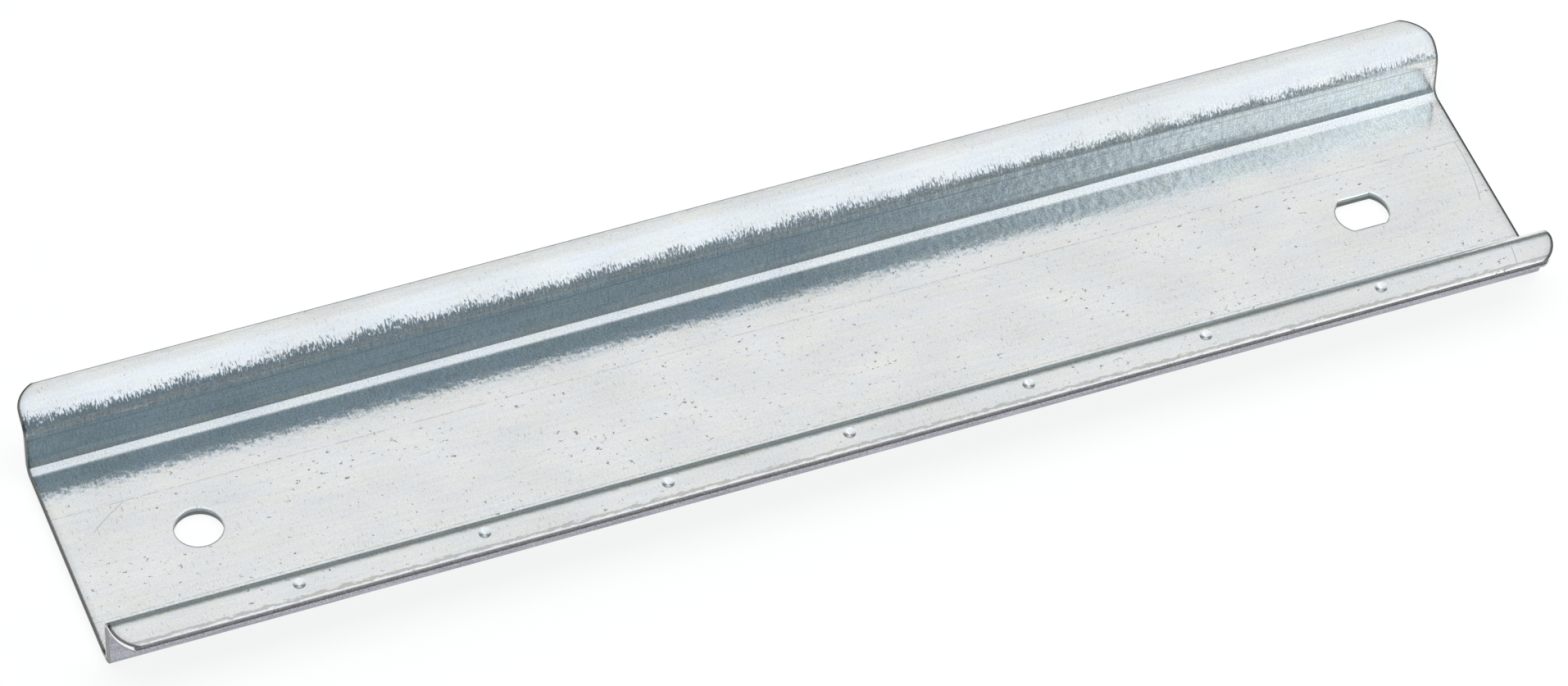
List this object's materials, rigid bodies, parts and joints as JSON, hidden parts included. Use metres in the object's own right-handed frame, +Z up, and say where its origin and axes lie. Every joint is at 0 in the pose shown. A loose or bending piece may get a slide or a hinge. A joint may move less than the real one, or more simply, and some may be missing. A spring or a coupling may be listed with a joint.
{
  "type": "din rail",
  "caption": "Short length of top-hat mounting rail in galvanised steel, with a round and an oblong fixing hole in its web and punch marks along one flange.",
  "frame": {"origin": "middle of the underside of the web", "axes": "+X along the rail towards the oblong hole, +Y towards the plain flange, +Z up out of the open side of the hat"},
  "size_m": [0.148, 0.035, 0.0075],
  "materials": {
    "galvanised_steel": "bright zinc, faintly streaked along the rolling direction, with grey sheared edges"
  },
  "bodies": {
    "root": {"rail": "galvanised_steel"}
  },
  "joints": []
}
